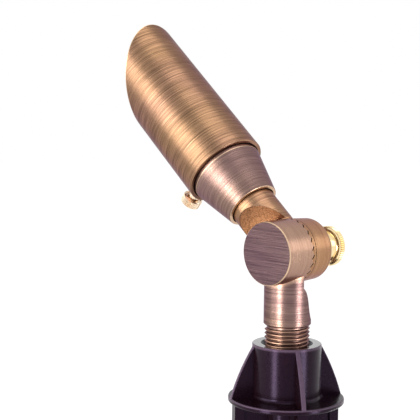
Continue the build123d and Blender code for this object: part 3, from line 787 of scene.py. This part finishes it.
on_head = Matrix.Translation(pivot) @ Matrix.Rotation(tilt - math.pi / 2, 4, "X")
screw_station = 0.062
on_thumbscrew = on_head @ Matrix.Translation((0, 0, screw_station)) @ Matrix.Rotation(-math.pi / 2, 4, "X")
screw_neck = 0.0204
screw_head = 0.0255
screw_end = 0.0300
screw_radius = 0.0050
screw_bore = 0.0020
screw_skin = 0.00145
screw_knurl = 0.00028
screw_knurl_count = 44
screw_body = turned_mesh("thumbscrew_head_body", [
    (screw_end - screw_skin, 0.0), (screw_end - screw_skin, screw_bore), (screw_neck, screw_bore),
    (screw_neck, 0.0027), (screw_neck + 0.0003, 0.0030), (screw_head + 0.0006, 0.0030),
    (screw_head + 0.0006, 0.0040), (screw_head, 0.0041), (screw_head, screw_radius - 0.0008),
    (screw_head + 0.0005, screw_radius - screw_knurl), (screw_end - 0.0005, screw_radius - screw_knurl),
    (screw_end, screw_radius - 0.0008), (screw_end, 0.0022),
    (screw_end - 0.0003, 0.0018), (screw_end - 0.0003, 0.0)], 72, on_thumbscrew)
pale_brass = skinned("pale_brass", 260.0, 2400.0, ((0.80, 0.62, 0.44), (0.92, 0.76, 0.60)),
                     (0.14, 0.26), 0.05, metallic=1.0)
screw_body.data.materials.append(pale_brass)
darken_roots(screw_body, knurl_root, on_thumbscrew, screw_radius - screw_knurl - root_margin, screw_radius)
screw_knurls = grown("thumbscrew_head_knurl", straight_knurl,
                     {"Radius": screw_radius, "Depth": screw_knurl, "Length": screw_end - screw_head - 0.0008,
                      "Low": (screw_head + screw_end) / 2, "Count": screw_knurl_count}, pale_brass)
screw_knurls.data.transform(on_thumbscrew)
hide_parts("thumbscrew_head")
for piece in (screw_body, screw_knurls):
    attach(piece, "thumbscrew_head")
dress("thumbscrew_shank", pale_brass)


# ---------------------------------------------------------------- seals and gland
# Moulded black rubber rings and the bush round the supply cable, with a dull, slightly dusty skin.

black_rubber = skinned("black_rubber", 300.0, 3200.0, ((0.012, 0.012, 0.013), (0.026, 0.025, 0.026)),
                       (0.50, 0.70), 0.30)
for name in ("wire_gland", "knuckle_seal", "arm_seal", "knob_seal", "shroud_seal"):
    dress(name, black_rubber)


# ---------------------------------------------------------------- steel pieces and lock nut
# The stud and its washer are zinc-plated steel, the lamp's pins and the splices are tinned.  The
# thin nut that holds the housing on the arm is bright brass.

plated_steel = skinned("plated_steel", 220.0, 2600.0, ((0.50, 0.50, 0.52), (0.64, 0.64, 0.66)),
                       (0.24, 0.40), 0.12, metallic=1.0)
for name in ("tension_bolt", "tension_washer", "lamp_pins", "lead_splices"):
    dress(name, plated_steel)
dress("lock_nut", polished_brass)


# ---------------------------------------------------------------- lamp
# A small two-pin reflector lamp: a pressed glass reflector with mirrored facets, a quartz capsule
# with its filament, and a ceramic foot.

mirrored_glass = skinned("mirrored_glass", 180.0, 1400.0, ((0.78, 0.78, 0.82), (0.88, 0.88, 0.90)),
                         (0.06, 0.14), 0.03, metallic=1.0)
bowl = [(0.0654, 0.0056), (0.0668, 0.0080), (0.0686, 0.0100), (0.0708, 0.0117), (0.0734, 0.0129),
        (0.0762, 0.0138), (0.0791, 0.0143), (0.0820, 0.0147)]
reflector = turned_mesh("lamp_reflector_facets", bowl + [
    (0.0820, 0.0173), (0.0818, 0.0175), (0.0802, 0.0175), (0.0800, 0.0173), (0.0800, 0.0153),
    (0.0794, 0.0153), (0.0770, 0.0148), (0.0735, 0.0139), (0.0700, 0.0121), (0.0672, 0.0099),
    (0.0652, 0.0080), (0.0640, 0.0070), (0.0640, 0.0056)], 40, on_head, facets=True)
reflector.data.materials.append(mirrored_glass)
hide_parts("lamp_reflector")
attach(reflector, "arm")

steatite = skinned("steatite", 260.0, 2000.0, ((0.66, 0.63, 0.56), (0.78, 0.76, 0.70)), (0.50, 0.68), 0.30)
for name in ("lamp_foot", "lampholder"):
    dress(name, steatite)

clear_glass = skinned("clear_glass", 40.0, 500.0, ((0.93, 0.97, 0.95), (0.98, 0.995, 0.985)),
                      (0.0, 0.02), 0.02)
shader = clear_glass.node_tree.nodes["Principled BSDF"]
shader.inputs["Transmission Weight"].default_value = 1.0
shader.inputs["IOR"].default_value = 1.47
quartz = turned_mesh("lamp_capsule_shell", [
    (0.0760, 0.0), (0.0757, 0.0016), (0.0749, 0.0029), (0.0736, 0.0037), (0.0720, 0.0040), (0.06405, 0.0040),
    (0.06405, 0.0034), (0.0720, 0.0034), (0.0733, 0.0031), (0.0744, 0.0024), (0.0751, 0.0013), (0.0754, 0.0)],
    48, on_head)
quartz.data.materials.append(clear_glass)
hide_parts("lamp_capsule")
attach(quartz, "arm")

coil_low = 0.0690
coil_high = 0.0722
coil_radius = 0.00055
coil_wire = 0.00007
coil_pitch = 0.00036
leg_low = 0.0642
filament = grown("lamp_filament", screw_thread_tree(plated_steel, 0.16),
                 {"Root": coil_radius, "Crest": coil_radius + coil_wire, "Pitch": coil_pitch, "Low": coil_low,
                  "Turns": (coil_high - coil_low) / coil_pitch}, plated_steel)
filament.data.transform(on_head)
legs = bpy.data.curves.new("lamp_filament_legs", "CURVE")
legs.dimensions = "3D"
legs.bevel_depth = 0.00013
legs.bevel_resolution = 2
legs.use_fill_caps = True
for points in (((-0.0014, 0, leg_low), (-0.0014, 0, 0.0684), (-0.0006, 0, coil_low)),
               ((0.0017, 0, leg_low), (0.0017, 0, 0.0726), (0.0006, 0, coil_high))):
    leg = legs.splines.new("POLY")
    leg.points.add(len(points) - 1)
    for point, place in zip(leg.points, points):
        point.co = (*place, 1)
leg_curve = bpy.data.objects.new("lamp_filament_legs_curve", legs)
bpy.context.scene.collection.objects.link(leg_curve)
bpy.context.view_layer.update()
leg_mesh = bpy.data.meshes.new_from_object(leg_curve.evaluated_get(bpy.context.evaluated_depsgraph_get()))
bpy.data.objects.remove(leg_curve)
leg_mesh.transform(on_head)
leg_mesh.materials.clear()
leg_mesh.materials.append(plated_steel)
filament_legs = bpy.data.objects.new("lamp_filament_legs", leg_mesh)
bpy.context.scene.collection.objects.link(filament_legs)
for piece in (filament, filament_legs):
    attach(piece, "arm")


# ---------------------------------------------------------------- lampholder leads
# Two stranded leads in braided glass sleeving, gone slightly brown from the heat.

def braid_group():
    """Strands that cross as they wind both ways round the vector's Z, as a height."""
    group, start, end = shader_group(
        "braided_sleeve", (("Vector", "Vector"), ("Strands", "Float"), ("Lay", "Float")),
        (("Height", "Float"),))
    split = group.nodes.new("ShaderNodeSeparateXYZ")
    group.links.new(start.outputs["Vector"], split.inputs[0])
    around = math_node(group, "ARCTAN2", split.outputs[1], split.outputs[0])
    around = math_node(group, "MULTIPLY", around, start.outputs["Strands"])
    along = math_node(group, "MULTIPLY", split.outputs[2], start.outputs["Lay"])
    one = math_node(group, "SINE", math_node(group, "ADD", around, along))
    other = math_node(group, "SINE", math_node(group, "SUBTRACT", around, along))
    group.links.new(math_node(group, "MAXIMUM", one, other), end.inputs["Height"])
    return group


lead_offset = 0.0021
sleeve, tree, shader, place = new_material("lead_sleeve")
beside = tree.nodes.new("ShaderNodeSeparateXYZ")
tree.links.new(laid(tree, place, along_head, pivot), beside.inputs[0])
own_lead = tree.nodes.new("ShaderNodeCombineXYZ")
from_lead = math_node(tree, "SUBTRACT", math_node(tree, "ABSOLUTE", beside.outputs[0]), lead_offset)
tree.links.new(from_lead, own_lead.inputs[0])
tree.links.new(beside.outputs[1], own_lead.inputs[1])
tree.links.new(beside.outputs[2], own_lead.inputs[2])
braid = tree.nodes.new("ShaderNodeGroup")
braid.node_tree = braid_group()
braid.inputs["Strands"].default_value = 8.0
braid.inputs["Lay"].default_value = 9000.0
tree.links.new(own_lead.outputs[0], braid.inputs["Vector"])
tree.links.new(ramp(tree, braid.outputs["Height"], [(0.0, (0.30, 0.24, 0.17)), (0.8, (0.74, 0.69, 0.58))]),
               shader.inputs["Base Color"])
shader.inputs["Roughness"].default_value = 0.8
relief(tree, shader, braid.outputs["Height"], 0.5, 0.0001)
dress("lampholder_leads", sleeve)


# ---------------------------------------------------------------- lens and gasket
# A toughened glass disc in a pale silicone channel ring.

silicone = skinned("silicone", 200.0, 2400.0, ((0.60, 0.60, 0.57), (0.70, 0.70, 0.67)), (0.40, 0.56), 0.12)
dress("lens_gasket", silicone)
dress("lens_glass", clear_glass)


# ---------------------------------------------------------------- view transform

bpy.context.scene.view_settings.view_transform = "Standard"
